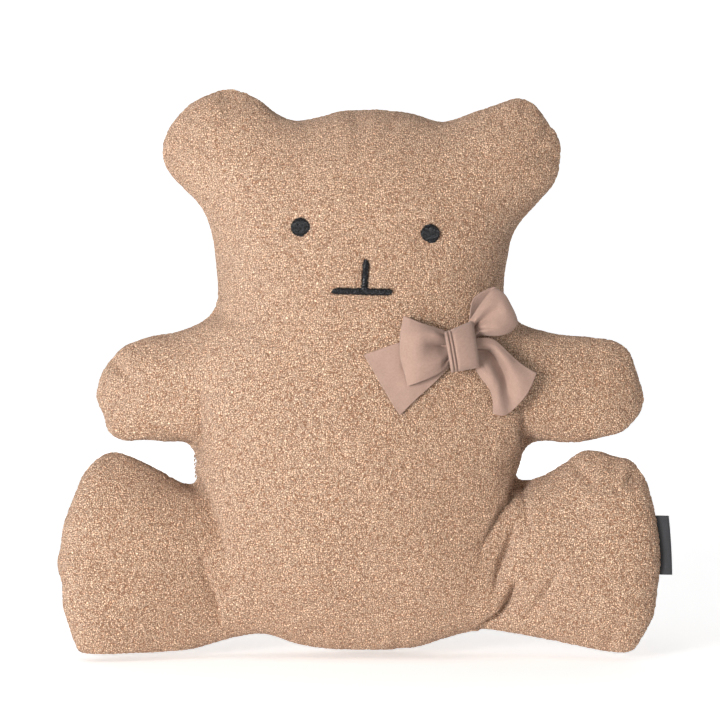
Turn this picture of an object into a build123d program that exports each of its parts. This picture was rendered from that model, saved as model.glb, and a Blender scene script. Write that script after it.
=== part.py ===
"""A teddy bear cushion of curly bouclé, stuffed, with soft limbs that fold where its outline narrows.

The bear sits on the plane z = 0 and faces -Y. Left and right are the bear's own, so its left is at +X.
Each lobe is a front panel and a back panel that meet in the seam plane, round a core of fibre stuffing.
The panels are divided along the fold lines, because each side of a fold moves on its own.
At a fold the outer lobe has a soft round roll on the fold's axis, and the inner lobe has a hollow for it.
"""

from build123d import *
import os
from math import cos, hypot, radians, sin, tan

# Driving dimensions, in millimetres and degrees.
FABRIC = 3.0  # the bouclé, with its pile
TORSO_DEPTH = 70.0  # from the seam plane to the crown, on each side
HEAD_DEPTH = 60.0
ARM_DEPTH = 28.0
LEG_DEPTH = 46.0
EAR_DEPTH = 21.0
NECK_Z = 270.0
SHOULDER_X = 128.0
SHOULDER_Z = 211.5
HIP_X = 112.0
HIP_Z = 55.0
LEGS_FORWARD = 18.0  # how far the legs fold forward at rest
ROLL_GAP = 0.5  # between a fold's roll and its hollow
NECK_ROLL = 14.0  # the rolls' radii
SHOULDER_ROLL = 8.0
HIP_ROLL = 9.0
EAR_ROLL = 5.0
NECK_ANGLES = (78.0, 85.0)  # of the inner and the outer lobe's trimmed faces, from the seam plane
SHOULDER_ANGLES = (66.0, 66.0)
HIP_ANGLES = (56.0, 56.0)
EAR_ANGLES = (68.0, 68.0)
EYE_RADIUS = 7.5
STITCH_PROUD = 1.2  # how far the embroidery stands out of the bouclé
STITCH_SUNK = 1.5
STITCH_WIDTH = 5.4
THREAD_RADIUS = 0.6
RIBBON = 2.4  # two layers of cotton and the air between them
BOW_KNOT = (78, -55, 242)
BOW_TILT = 22.0
LEFT_LOOP_TURN = 17.0  # in the bow's plane, from its tilted line
RIGHT_LOOP_TURN = 162.0
LOOP_START = 15.5  # from the knot's middle to where its loops leave it
LABEL_THICK = 1.4
LABEL_LENGTH = 46.0
LABEL_PROUD = 13.0

# Where a lobe's sections lie, as angles from the seam plane to the crown.
SECTION_ANGLES = (0, 20, 40, 58, 72, 82)
FAR = 400.0

# Outlines in the seam plane, as (x, z). Each runs on past its folds, where the fold's cut trims it.
TORSO = [
    (0, 335), (-70, 325), (-110, 296), (-119, 272), (-132, 250), (-142, 215), (-140, 178), (-133, 152),
    (-128, 134), (-122, 112), (-120, 70), (-114, 30), (-94, 3), (-52, -11), (0, -14),
    (52, -11), (94, 3), (114, 30), (120, 70), (120, 112), (124, 136), (129, 154), (138, 180), (140, 215),
    (131, 250), (119, 272), (110, 296), (70, 325),
]
HEAD = [
    (0, 212), (-75, 220), (-112, 248), (-118, 272), (-114, 292), (-118, 322), (-123, 350), (-108, 392),
    (-72, 417), (-35, 426), (8, 431), (48, 427), (80, 416), (111, 386), (122, 346), (116, 318),
    (114, 292), (118, 272), (112, 248), (75, 220),
]
RIGHT_EAR = [
    (-58, 420), (-84, 441), (-110, 450), (-137, 441), (-153, 422), (-159, 400), (-151, 377), (-126, 352),
    (-106, 352), (-78, 372), (-56, 400),
]
LEFT_EAR = [
    (66, 421), (92, 434), (120, 443), (138, 439), (148, 426), (158, 408), (159, 386), (150, 368),
    (124, 343), (102, 346), (78, 368), (60, 398),
]
RIGHT_ARM = [
    (-118, 262), (-143, 256), (-170, 250), (-193, 240), (-207, 223), (-213, 203), (-207, 186), (-194, 172),
    (-176, 169), (-155, 166), (-132, 164), (-108, 172), (-98, 210), (-104, 246),
]
LEFT_ARM = [
    (118, 262), (142, 255), (170, 252), (200, 249), (214, 238), (221, 219), (226, 201), (218, 185),
    (200, 173), (178, 168), (152, 167), (130, 166), (107, 173), (98, 210), (104, 246),
]
# The legs' outlines give x as the distance out from the hip.
RIGHT_LEG = [
    (4, 116), (19, 126), (36, 134), (52, 143), (68, 152), (84, 158), (100, 156), (114, 147), (124, 130),
    (134, 106), (140, 74), (138, 46), (131, 20), (116, -3), (90, -12), (40, -14), (2, -10), (-12, 28),
    (-14, 68), (-8, 98),
]
LEFT_LEG = [
    (4, 116), (16, 126), (31, 134), (44, 144), (57, 155), (72, 161), (88, 158), (106, 151), (119, 138),
    (128, 112), (131, 76), (131, 44), (124, 18), (110, -3), (88, -12), (40, -14), (2, -10), (-12, 28),
    (-14, 68), (-8, 98),
]


def section(outline, centre, scale, y):
    """A lobe's closed outline at depth y, shrunk towards the lobe's centre."""
    cx, cz = centre
    points = [Vector(cx + (x - cx) * scale, y, cz + (z - cz) * scale) for x, z in outline]
    return Wire([Edge.make_spline(points, periodic=True)])


def half_pillow(outline, centre, depth, side, grow=0.0):
    """Half of a stuffed lobe, grown all round by grow. side is -1 for the front and 1 for the back."""
    cx, cz = centre
    reach = sum(hypot(x - cx, z - cz) for x, z in outline) / len(outline)
    wider = 1 + grow / reach
    wires = [
        section(outline, centre, wider * cos(radians(a)), side * (depth + grow) * sin(radians(a)))
        for a in SECTION_ANGLES
    ]
    return Solid.make_loft(wires)


def box_between(low, high):
    """A box from its lowest to its highest corner."""
    size = [h - l for l, h in zip(low, high)]
    return Solid.make_box(*size, Plane(origin=low))


def front_half():
    return box_between((-FAR, -FAR, -FAR), (FAR, 0, FAR))


class Fold:
    """A fold line in the seam plane, and how the lobes on each side of it are trimmed.

    out is the way to the outer lobe. The angles are those of the trimmed faces, measured from the seam plane.
    """

    def __init__(self, middle, out, half_length, roll, angles):
        x, z = middle
        self.plane = Plane(origin=(x, 0, z), x_dir=(out[0], 0, out[1]), z_dir=(-out[1], 0, out[0]))
        self.half_length = half_length
        self.roll = roll
        self.inner_angle, self.outer_angle = angles

    def prism(self, corners, half_length):
        """A prism along the fold, from its section's corners as (out, across)."""
        across = [self.plane.from_local_coords(Vector(u, v, -half_length)) for u, v in corners]
        return Solid.extrude(Face(Wire.make_polygon(across)), self.plane.z_dir * (2 * half_length))

    def outer_side(self):
        """The wedge that holds the outer lobe."""
        across = FAR * tan(radians(self.outer_angle))
        return self.prism([(0, 0), (FAR, across), (FAR, -across)], FAR)

    def cut_from_inner(self):
        """What the fold takes from the inner lobe: all beside the outer one, and the hollow for its roll."""
        back = FAR / tan(radians(self.inner_angle))
        corners = [(0, 0), (-back, FAR), (FAR, FAR), (FAR, -FAR), (-back, -FAR)]
        beside = self.prism(corners, self.half_length)
        return beside + self.cylinder(self.roll + ROLL_GAP)

    def cylinder(self, radius):
        """A round bar on the fold's axis."""
        start = self.plane.origin - self.plane.z_dir * self.half_length
        return Solid.make_cylinder(radius, 2 * self.half_length, Plane(origin=start, z_dir=self.plane.z_dir))


def ear_fold(low, high, side):
    """A fold on the line from the ear's lower root to its upper one. side is 1 for the left ear."""
    length = hypot(high[0] - low[0], high[1] - low[1])
    out = (side * (high[1] - low[1]) / length, -side * (high[0] - low[0]) / length)
    middle = ((low[0] + high[0]) / 2, (low[1] + high[1]) / 2)
    return Fold(middle, out, half_length=60, roll=EAR_ROLL, angles=EAR_ANGLES)


NECK = Fold((0, NECK_Z), (0, 1), half_length=160, roll=NECK_ROLL, angles=NECK_ANGLES)
SHOULDERS = {
    side: Fold((side * SHOULDER_X, SHOULDER_Z), (side, 0), 51.5, SHOULDER_ROLL, SHOULDER_ANGLES)
    for side in (-1, 1)
}
HIPS = {side: Fold((side * HIP_X, HIP_Z), (side, 0), 75, HIP_ROLL, HIP_ANGLES) for side in (-1, 1)}
EAR_FOLDS = {-1: ear_fold((-124, 350), (-58, 421), -1), 1: ear_fold((122, 342), (66, 422), 1)}


class Lobe:
    """A stuffed lobe as its front panel, back panel and stuffing."""

    def __init__(self, name, outline, centre, depth):
        self.name = name
        self.shape = (outline, centre, depth)
        front, back = half_pillow(*self.shape, -1), half_pillow(*self.shape, 1)
        front_core, back_core = half_pillow(*self.shape, -1, -FABRIC), half_pillow(*self.shape, 1, -FABRIC)
        self.front = front - front_core
        self.back = back - back_core
        self.stuffing = front_core + back_core

    def change(self, operation):
        """Replaces the panels and the stuffing by what the operation makes of each."""
        self.front, self.back = operation(self.front), operation(self.back)
        self.stuffing = operation(self.stuffing)

    def hang_on(self, fold):
        """Trims this lobe as the outer one at a fold, and gives its stuffing the fold's roll."""
        roll = fold.cylinder(fold.roll) & self.stuffing
        side = fold.outer_side()
        self.change(lambda s: s & side)
        self.stuffing = self.stuffing + roll

    def make_room(self, fold):
        """Trims this lobe as the inner one at a fold."""
        cut = fold.cut_from_inner()
        self.change(lambda s: s - cut)

    def sit(self):
        """Flattens the underside, with the panels' cloth under the stuffing."""
        above = box_between((-FAR, -FAR, 0), (FAR, FAR, 2 * FAR))
        sole = self.stuffing & box_between((-FAR, -FAR, 0), (FAR, FAR, FABRIC))
        self.stuffing = self.stuffing & box_between((-FAR, -FAR, FABRIC), (FAR, FAR, 2 * FAR))
        self.front = (self.front & above) + (sole & front_half())
        self.back = (self.back & above) + (sole - front_half())

    def write(self):
        write(f"{self.name}_front_panel", self.front)
        write(f"{self.name}_back_panel", self.back)
        write(f"{self.name}_stuffing", self.stuffing)


def write(name, shape):
    """Writes one node's file, as a single solid or as a compound of several."""
    solids = shape.solids()
    export_step(solids[0] if len(solids) == 1 else Compound(children=solids), f"parts/{name}.step")


def embroider(head):
    """Sews the eyes, nose and mouth into the head's front panel, and returns them by name."""
    band = half_pillow(*head.shape, -1, STITCH_PROUD) - half_pillow(*head.shape, -1, -STITCH_SUNK)
    half = STITCH_WIDTH / 2

    def round_patch(x, z):
        return Solid.make_cylinder(EYE_RADIUS, FAR, Plane(origin=(x, 0, z), z_dir=(0, -1, 0)))

    def bar(x_low, x_high, z_low, z_high):
        block = box_between((x_low, -FAR, z_low), (x_high, 0, z_high))
        return block.fillet(half * 0.8, block.edges().filter_by(Axis.Y))

    shapes = {
        "eye_right": round_patch(-48, 337),
        "eye_left": round_patch(53, 332),
        "nose_stitch": bar(2.4 - half, 2.4 + half, 290, 311),
        "mouth_stitch": bar(-23, 23, 290 - 0.3 - STITCH_WIDTH, 290 - 0.3),
    }
    patches = {name: shape & band for name, shape in shapes.items()}
    for patch in patches.values():
        head.front = head.front - patch
    return patches


def closing_stitches(torso):
    """Slanting threads over the side seam, where the bear was stuffed and sewn shut by hand."""
    low, high, count = 138.0, 156.0, 6
    stitches = []
    for i in range(count):
        z = low + (high - low) * i / (count - 1)
        x = -(129.3 + 0.21 * (z - 136))
        start = Vector(x, -3.2, z - 0.8)
        end = Vector(x, 3.2, z + 0.8)
        along = end - start
        stitches.append(Solid.make_cylinder(THREAD_RADIUS, along.length, Plane(origin=start, z_dir=along)))
    for stitch in stitches:
        torso.front = torso.front - stitch
        torso.back = torso.back - stitch
        torso.stuffing = torso.stuffing - stitch
    return Compound(children=stitches)


def bow_plane():
    """The bow's own plane: x along it from the right loop to the left one, z away from the belly."""
    out = Vector(0.2, -1, 0.1).normalized()
    along = Vector(cos(radians(BOW_TILT)), 0, sin(radians(BOW_TILT)))
    along = along - out * along.dot(out)
    return Plane(origin=BOW_KNOT, x_dir=along, z_dir=out)


def bow_loop(turn):
    """A loop of ribbon, gathered at the knot, that leaves it at an angle in the bow's plane."""
    place = bow_plane() * Rot(Z=turn)
    profile = Plane.XZ * make_face(Spline(
        (11.3, 6.5), (22, 3.6), (36, 3.3), (46, 5), (49, 10), (45, 15.5), (34, 17.5), (21, 13), (11.3, 6.5),
    ))
    band = extrude(profile, 30, both=True)
    hollow = extrude(Plane.XZ * make_face(Spline(
        (20, 7.6), (34, 5.8), (44, 7.2), (46.2, 10), (43, 13.2), (33, 14.6), (20, 7.6),
    )), 31, both=True)
    corners = [(LOOP_START, -6), (27, -21), (60, -28), (60, 28), (27, 21), (LOOP_START, 6)]
    gather = extrude(make_face(Polyline(*corners, close=True)), 40)
    return place * ((band - hollow) & gather)


def bow_tail(corners):
    """A flat end of ribbon in the bow's plane, from its corners round from the knot."""
    return bow_plane() * extrude(make_face(Polyline(*corners, close=True)), RIBBON)


def bow_knot():
    knot = Box(20, 34, 18, align=(Align.CENTER, Align.CENTER, Align.MIN))
    return bow_plane() * fillet(knot.edges(), 6)


def bow_tack(torso):
    """The thread that holds the knot on the belly."""
    plane = bow_plane()
    tack = plane * Pos(Z=-12) * Cylinder(1.5, 12, align=(Align.CENTER, Align.CENTER, Align.MIN))
    torso.front = torso.front - tack
    torso.stuffing = torso.stuffing - tack
    return tack


def label():
    """A folded woven label, on its own small fold in the outer seam of the left leg before it's folded."""
    low = Vector(HIP_X + 132.6, 0, 64)
    high = Vector(HIP_X + 130.4, 0, 64 + LABEL_LENGTH)
    along = (high - low).normalized()
    place = Plane(origin=low, x_dir=(along.Z, 0, -along.X), z_dir=along)
    slab = Pos(X=0, Y=-LABEL_THICK / 2) * Box(
        LABEL_PROUD, LABEL_THICK, LABEL_LENGTH, align=(Align.MIN, Align.MIN, Align.MIN))
    root = Cylinder(LABEL_THICK / 2, LABEL_LENGTH, align=(Align.CENTER, Align.CENTER, Align.MIN))
    return place * (slab + root)


def mirrored(outline, side):
    return [(side * (HIP_X + x), z) for x, z in outline]


def main():
    os.makedirs("parts", exist_ok=True)

    torso = Lobe("torso", TORSO, (0, 160), TORSO_DEPTH)
    torso.sit()
    for fold in (NECK, *SHOULDERS.values(), *HIPS.values()):
        torso.make_room(fold)
    write("closing_stitches", closing_stitches(torso))
    write("bow_tack", bow_tack(torso))
    torso.write()

    head = Lobe("head", HEAD, (0, 325), HEAD_DEPTH)
    head.hang_on(NECK)
    for fold in EAR_FOLDS.values():
        head.make_room(fold)
    for name, patch in embroider(head).items():
        write(name, patch)
    head.write()

    ears = {-1: ("ear_right", RIGHT_EAR, (-112, 402)), 1: ("ear_left", LEFT_EAR, (114, 394))}
    for side, (name, outline, centre) in ears.items():
        ear = Lobe(name, outline, centre, EAR_DEPTH)
        ear.hang_on(EAR_FOLDS[side])
        ear.write()

    arms = {-1: ("arm_right", RIGHT_ARM, (-152, 211)), 1: ("arm_left", LEFT_ARM, (156, 210))}
    for side, (name, outline, centre) in arms.items():
        arm = Lobe(name, outline, centre, ARM_DEPTH)
        arm.hang_on(SHOULDERS[side])
        arm.write()

    legs = {-1: ("leg_right", RIGHT_LEG), 1: ("leg_left", LEFT_LEG)}
    for side, (name, outline) in legs.items():
        leg = Lobe(name, mirrored(outline, side), (side * (HIP_X + 62), 68), LEG_DEPTH)
        leg.sit()
        leg.hang_on(HIPS[side])
        forward = Pos(X=side * HIP_X) * Rot(Z=-side * LEGS_FORWARD) * Pos(X=-side * HIP_X)
        leg.change(lambda s: s.moved(forward))
        leg.write()
        if side == 1:
            write("label", label().moved(forward))

    write("bow_knot", bow_knot())
    write("bow_loop_left", bow_loop(LEFT_LOOP_TURN))
    write("bow_loop_right", bow_loop(RIGHT_LOOP_TURN))
    write("bow_tail_left", bow_tail([(11.5, -3), (30, -8), (49, -41), (18, -64), (4, -56), (11.5, -14)]))
    write("bow_tail_right", bow_tail([(-11.5, 9), (-74, 26), (-66, -30), (-11.5, -13)]))


main()
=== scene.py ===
"""A bear cushion of curly bouclé, sewn from two panels round one outline and stuffed.

The skin is one closed surface: a front and a back sheet that share the outline seam. It is inflated over
the outline, creased at its folds and puckered along its seam, then cut into two pieces for each body.
"""

import itertools
import math

import bpy
import numpy as np
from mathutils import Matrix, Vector, kdtree
from mathutils.geometry import delaunay_2d_cdt


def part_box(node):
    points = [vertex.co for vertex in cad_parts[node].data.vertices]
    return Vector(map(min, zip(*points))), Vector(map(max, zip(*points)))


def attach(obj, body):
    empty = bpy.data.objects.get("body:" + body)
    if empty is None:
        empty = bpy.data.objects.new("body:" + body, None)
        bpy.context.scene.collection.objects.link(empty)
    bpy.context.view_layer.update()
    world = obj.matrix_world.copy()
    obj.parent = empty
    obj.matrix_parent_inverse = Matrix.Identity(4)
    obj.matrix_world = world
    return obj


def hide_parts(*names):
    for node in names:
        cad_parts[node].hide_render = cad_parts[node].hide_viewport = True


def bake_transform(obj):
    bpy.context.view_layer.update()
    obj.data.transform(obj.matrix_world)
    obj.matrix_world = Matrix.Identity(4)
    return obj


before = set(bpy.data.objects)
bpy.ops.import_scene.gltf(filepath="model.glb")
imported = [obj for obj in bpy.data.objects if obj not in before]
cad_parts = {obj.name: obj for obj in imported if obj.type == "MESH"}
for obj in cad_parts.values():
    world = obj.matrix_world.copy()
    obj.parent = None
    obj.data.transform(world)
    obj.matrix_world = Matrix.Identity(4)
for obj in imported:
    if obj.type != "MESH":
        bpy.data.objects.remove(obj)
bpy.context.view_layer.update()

MM = 0.001
SEED = 11
BODIES = ["torso", "head", "ear_left", "ear_right", "arm_left", "arm_right", "leg_left", "leg_right"]

# Lengths below are in millimetres.

# The skin's mesh. Its rim rings are distances in from the seam, closer together where the skin is steepest.
MESH_STEP = 5.0
RIM_RINGS = (0.35, 1.4, 3.1, 5.6, 9.0)
SUBDIVISIONS = 2

# The skin's shape.
FULLNESS = 0.66  # crown height against that of a round section
LEG_FORWARD = math.tan(math.radians(18))
HIP_X = 112.0
HIP_Z = 175.0
HIP_BEND = 9.0
SHARED_PUCKER = 0.46  # share of the crown lost in a valley that both panels have
OWN_PUCKER = 0.30  # and in a valley of one panel alone
SEAM_DRAWN_IN = 4.2
SEAM_WAVE = 1.6
LUMPS = ((55, 2.2, 3), (24, 0.9, 4))  # size, height and seed of the stuffing's lumps

# The curls that stand up from the skin.
CURL_CELL = 2.7
CURL_HEIGHT = 0.6

# The floor's effect on the underside.
FLOOR_REACH = 60.0
FLOOR_SPREAD = 15.0
LOWEST = 0.15

# The embroidery and the bow.
EMBROIDERY_SUNK = 1.6
BAR_HALF_WIDTH = 2.6
NEARER = 0.975  # size of what stands in front of the seam plane against its size in the plane

# The outline seam as (x, z), from the top of the head round by the bear's left.
OUTLINE = [
    (10, 432), (38, 429), (54, 424), (63, 422), (74, 424), (90, 430), (108, 436), (124, 441), (136, 438),
    (146, 425), (157, 411), (159, 396), (156, 378), (147, 365), (131, 348), (121, 334), (116, 314),
    (113, 292), (115, 277), (121, 266), (134, 258), (160, 252), (186, 250), (203, 247), (214, 239),
    (219, 224), (224, 209), (226, 199), (219, 186), (206, 175), (190, 171), (172, 167), (150, 167),
    (135, 165), (129, 158), (125, 148), (123, 140), (126, 136), (136, 137), (150, 143), (162, 151),
    (172, 159), (184, 161), (199, 157), (214, 153), (223, 141), (227, 128), (231, 112), (234, 92),
    (235, 72), (233, 54), (231, 38), (223, 24), (214, 13), (202, 9), (188, 12), (172, 13), (130, 16),
    (100, 17), (86, 17), (66, 12), (40, 5), (10, 2), (-24, 4), (-54, 9), (-76, 16), (-96, 14),
    (-126, 8), (-164, 3), (-192, 2), (-211, 4), (-223, 12), (-230, 26), (-236, 42), (-236, 57),
    (-240, 72), (-237, 91), (-234, 107), (-227, 125), (-221, 141), (-211, 153), (-199, 160), (-184, 156),
    (-166, 147), (-150, 138), (-139, 133), (-133, 135), (-132, 143), (-134, 156), (-140, 165),
    (-156, 167), (-172, 169), (-190, 168), (-202, 176), (-206, 188), (-213, 203), (-209, 219),
    (-202, 232), (-190, 243), (-172, 250), (-146, 255), (-129, 262), (-119, 271), (-115, 284),
    (-116, 304), (-120, 334), (-128, 354), (-142, 369), (-154, 382), (-160, 397), (-155, 416),
    (-149, 424), (-139, 435), (-122, 444), (-106, 449), (-87, 443), (-70, 430), (-55, 423),
    (-38, 425), (-14, 431),
]

# Fold lines as their two ends.
FOLDS = {
    "ear_left": ((63, 422), (131, 348)),
    "ear_right": ((-128, 354), (-55, 423)),
    "arm_left": ((121, 266), (129, 158)),
    "arm_right": ((-134, 158), (-129, 262)),
    "leg_left": ((124, 138), (97, 17)),
    "leg_right": ((-86, 15), (-133, 135)),
}

# Where one limb's skin ends and the next one's starts.
NECK_SPLIT_Z = 246.0
EAR_START_Z = 330.0
ARM_END_Z = 275.0
GROIN_Z = 150.0
FOOT_START_X = 145.0
FOOT_TOP_Z = 164.0

# Creases: where the skin is drawn in, as points, how strongly, and how wide.
CREASES = [
    (((-131, 133), (-116, 100), (-107, 70), (-104, 40)), 0.040, 5.0),
    (((-128, 126), (-122, 90), (-112, 55), (-100, 20)), 0.018, 8.0),
    (((122, 136), (107, 115), (97, 92), (94, 70)), 0.034, 5.0),
    (((118, 112), (108, 80), (102, 50), (97, 22)), 0.020, 8.0),
    (((-128, 258), (-133, 210), (-136, 168)), 0.020, 8.0),
    (((122, 262), (128, 215), (130, 164)), 0.020, 8.0),
    (((-118, 271), (-92, 262), (-60, 258)), 0.012, 9.0),
    (((118, 271), (92, 264), (60, 260)), 0.012, 9.0),
    (((-124, 356), (-94, 384), (-60, 418)), 0.012, 9.0),
    (((126, 350), (96, 384), (66, 418)), 0.012, 9.0),
]

# Sharp folds on the front: points, depth, width, how far one side laps the other, whether it starts deep.
GROOVES = [
    (((-130, 134), (-125, 125), (-119, 112), (-115, 103), (-110, 90), (-107, 78)), 10.0, 3.4, 3.6, True),
    (((-124, 82), (-120, 62), (-114, 46), (-109, 20)), 4.5, 6.5, 2.4, False),
    (((122, 134), (118, 125), (111, 115), (104, 103), (97, 91), (90, 77)), 9.0, 3.2, -3.6, True),
    (((119, 106), (114, 88), (109, 74), (106, 62), (103, 48)), 7.0, 3.0, -3.0, False),
    (((120, 60), (115, 44), (109, 32), (101, 25), (91, 18)), 8.0, 3.4, -5.5, False),
    (((130, 133), (130, 120), (131, 106), (132, 92)), 4.5, 4.0, 1.8, True),
    (((154, 74), (141, 47), (126, 25)), 4.0, 6.5, -1.8, False),
    (((-131, 163), (-130, 182), (-128, 200), (-124, 222)), 8.0, 5.0, -3.0, True),
    (((131, 162), (128, 182), (127, 206)), 8.0, 5.0, 3.0, True),
    (((-121, 272), (-104, 265), (-80, 261)), 5.0, 6.5, 0.0, True),
    (((121, 270), (106, 265), (84, 261)), 5.0, 6.5, 0.0, True),
]

EYES = {"eye_right": (-48, 337), "eye_left": (53, 332)}
EYE_RADIUS = 7.4
NOSE = ((1.6, 288), (3.2, 311))
MOUTH = ((-22.6, 287.4), (22.8, 286.4))


def hashed(cells, seed):
    """A repeatable number from 0 to 1 for each row of whole numbers."""
    c = cells.astype(np.int64)
    h = (c[..., 0] * 73856093) ^ (c[..., 1] * 19349663) ^ (c[..., 2] * 83492791) ^ (seed * 2654435761)
    h = (h ^ (h >> 13)) * 1274126177
    h = (h ^ (h >> 16)) & 0xFFFFFF
    return h / float(0x1000000)


def noise(points, size, seed):
    """Smooth noise from -1 to 1 with features of the given size."""
    q = np.asarray(points, float) / size
    base = np.floor(q).astype(np.int64)
    f = q - base
    f = f * f * (3 - 2 * f)
    total = 0.0
    for corner in itertools.product((0, 1), repeat=3):
        dx, dy, dz = corner
        weight = np.abs(1 - dx - f[:, 0]) * np.abs(1 - dy - f[:, 1]) * np.abs(1 - dz - f[:, 2])
        total = total + weight * hashed(base + corner, seed)
    return total * 2 - 1


def cell_distance(points, size, seed):
    """Distance from each point to the nearest of a jittered set of points, as a share of their spacing."""
    q = np.asarray(points, float) / size
    base = np.floor(q).astype(np.int64)
    nearest = np.full(len(q), 9.0)
    for step in itertools.product((-1, 0, 1), repeat=3):
        cell = base + step
        centre = cell + np.stack([hashed(cell, seed + k) for k in range(3)], 1)
        nearest = np.minimum(nearest, np.linalg.norm(q - centre, axis=1))
    return nearest


def closed_curve(points, spacing):
    """Points at even spacing along a smooth closed curve through the given ones."""
    p = np.array(points, float)
    before, after, beyond = np.roll(p, 1, 0), np.roll(p, -1, 0), np.roll(p, -2, 0)
    t = np.linspace(0, 1, 24, endpoint=False)[None, :, None]
    curve = 2 * p[:, None] + (after - before)[:, None] * t
    curve = curve + (2 * before - 5 * p + 4 * after - beyond)[:, None] * t**2
    curve = curve + (3 * p - before - 3 * after + beyond)[:, None] * t**3
    dense = 0.5 * curve.reshape(-1, 2)
    dense = np.vstack([dense, dense[:1]])
    run = np.r_[0, np.cumsum(np.linalg.norm(np.diff(dense, axis=0), axis=1))]
    at = np.linspace(0, run[-1], round(run[-1] / spacing), endpoint=False)
    return np.c_[np.interp(at, run, dense[:, 0]), np.interp(at, run, dense[:, 1])]


def open_curve(points, spacing):
    """Points at even spacing along a polyline, with its ends."""
    p = np.array(points, float)
    run = np.r_[0, np.cumsum(np.linalg.norm(np.diff(p, axis=0), axis=1))]
    at = np.linspace(0, run[-1], max(2, round(run[-1] / spacing) + 1))
    return np.stack([np.interp(at, run, p[:, k]) for k in range(p.shape[1])], 1)


def inside(points, loop):
    """Which points lie inside a closed loop."""
    x, z = points[:, 0][:, None], points[:, 1][:, None]
    a, b = loop, np.roll(loop, -1, 0)
    crosses = (a[:, 1] > z) != (b[:, 1] > z)
    rise = np.where(b[:, 1] == a[:, 1], 1e-9, b[:, 1] - a[:, 1])
    at = a[:, 0] + (z - a[:, 1]) * (b[:, 0] - a[:, 0]) / rise
    return (crosses & (x < at)).sum(1) % 2 == 1


def distance_to(points, samples):
    """Distance from each point to the nearest sample, and that sample's number."""
    best = np.full(len(points), 1e9)
    which = np.zeros(len(points), int)
    for start in range(0, len(points), 2000):
        block = points[start:start + 2000]
        d = np.linalg.norm(block[:, None] - samples[None], axis=2)
        which[start:start + 2000] = d.argmin(1)
        best[start:start + 2000] = d.min(1)
    return best, which


def fold_frame(name):
    """A fold's first end and its direction out to the limb, both in the seam plane."""
    a, b = (np.array(p, float) for p in FOLDS[name])
    along = (b - a) / np.linalg.norm(b - a)
    out = np.array([along[1], -along[0]])
    if name.endswith("right") != (out[0] < 0):
        out = -out
    return a, out


def body_of_point(points):
    """The body that each point of the seam plane belongs to, as a number in BODIES."""
    x, z = points[:, 0], points[:, 1]
    body = np.where(z > NECK_SPLIT_Z, 1, 0)
    leg_top = np.where(np.abs(x) > FOOT_START_X, FOOT_TOP_Z, GROIN_Z)
    zones = {"ear": z > EAR_START_Z, "arm": (z > leg_top) & (z < ARM_END_Z), "leg": z < leg_top}
    for name in FOLDS:
        a, out = fold_frame(name)
        limb, side = name.split("_")
        beyond = ((points - a) @ out > 0) & zones[limb] & ((x > 0) == (side == "left"))
        body = np.where(beyond, BODIES.index(name), body)
    return body


def inward_from(seam):
    """The unit direction into the outline at each point of the seam."""
    along = np.roll(seam, -1, 0) - np.roll(seam, 1, 0)
    return np.c_[along[:, 1], -along[:, 0]] / np.linalg.norm(along, axis=1)[:, None]


def fold_cuts(seam):
    """Points and edges along the fold lines and the neck, which the triangles have to follow."""
    lines = [*FOLDS.values(), [(-132, NECK_SPLIT_Z), (125, NECK_SPLIT_Z)]]
    points, edges = [], []
    for line in lines:
        cut = open_curve(line, MESH_STEP)
        clear = distance_to(cut, seam)[0] > RIM_RINGS[-1] + 0.7 * MESH_STEP
        kept = cut[clear]
        edges += [(len(points) + i, len(points) + i + 1) for i in range(len(kept) - 1)]
        points += list(kept)
    return np.array(points), edges


def inner_grid(seam, inner, cut_points):
    """Staggered rows of points inside the innermost ring, clear of the ring and of the fold lines."""
    low, high = seam.min(0), seam.max(0)
    row_step = MESH_STEP * math.sqrt(3) / 2
    grid = []
    for row, z in enumerate(np.arange(low[1], high[1], row_step)):
        xs = np.arange(low[0], high[0], MESH_STEP) + (row % 2) * MESH_STEP / 2
        grid += [(x, z) for x in xs]
    grid = np.array(grid)
    grid = grid[inside(grid, inner)]
    grid = grid[distance_to(grid, inner)[0] > 0.6 * MESH_STEP]
    return grid[distance_to(grid, cut_points)[0] > 0.62 * MESH_STEP]


def turned(faces, plan):
    """Faces that all run the same way round."""
    a, b, c = plan[faces[:, 0]], plan[faces[:, 1]], plan[faces[:, 2]]
    signed = (b - a)[:, 0] * (c - a)[:, 1] - (b - a)[:, 1] * (c - a)[:, 0]
    return np.where((signed < 0)[:, None], faces[:, ::-1], faces)


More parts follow.
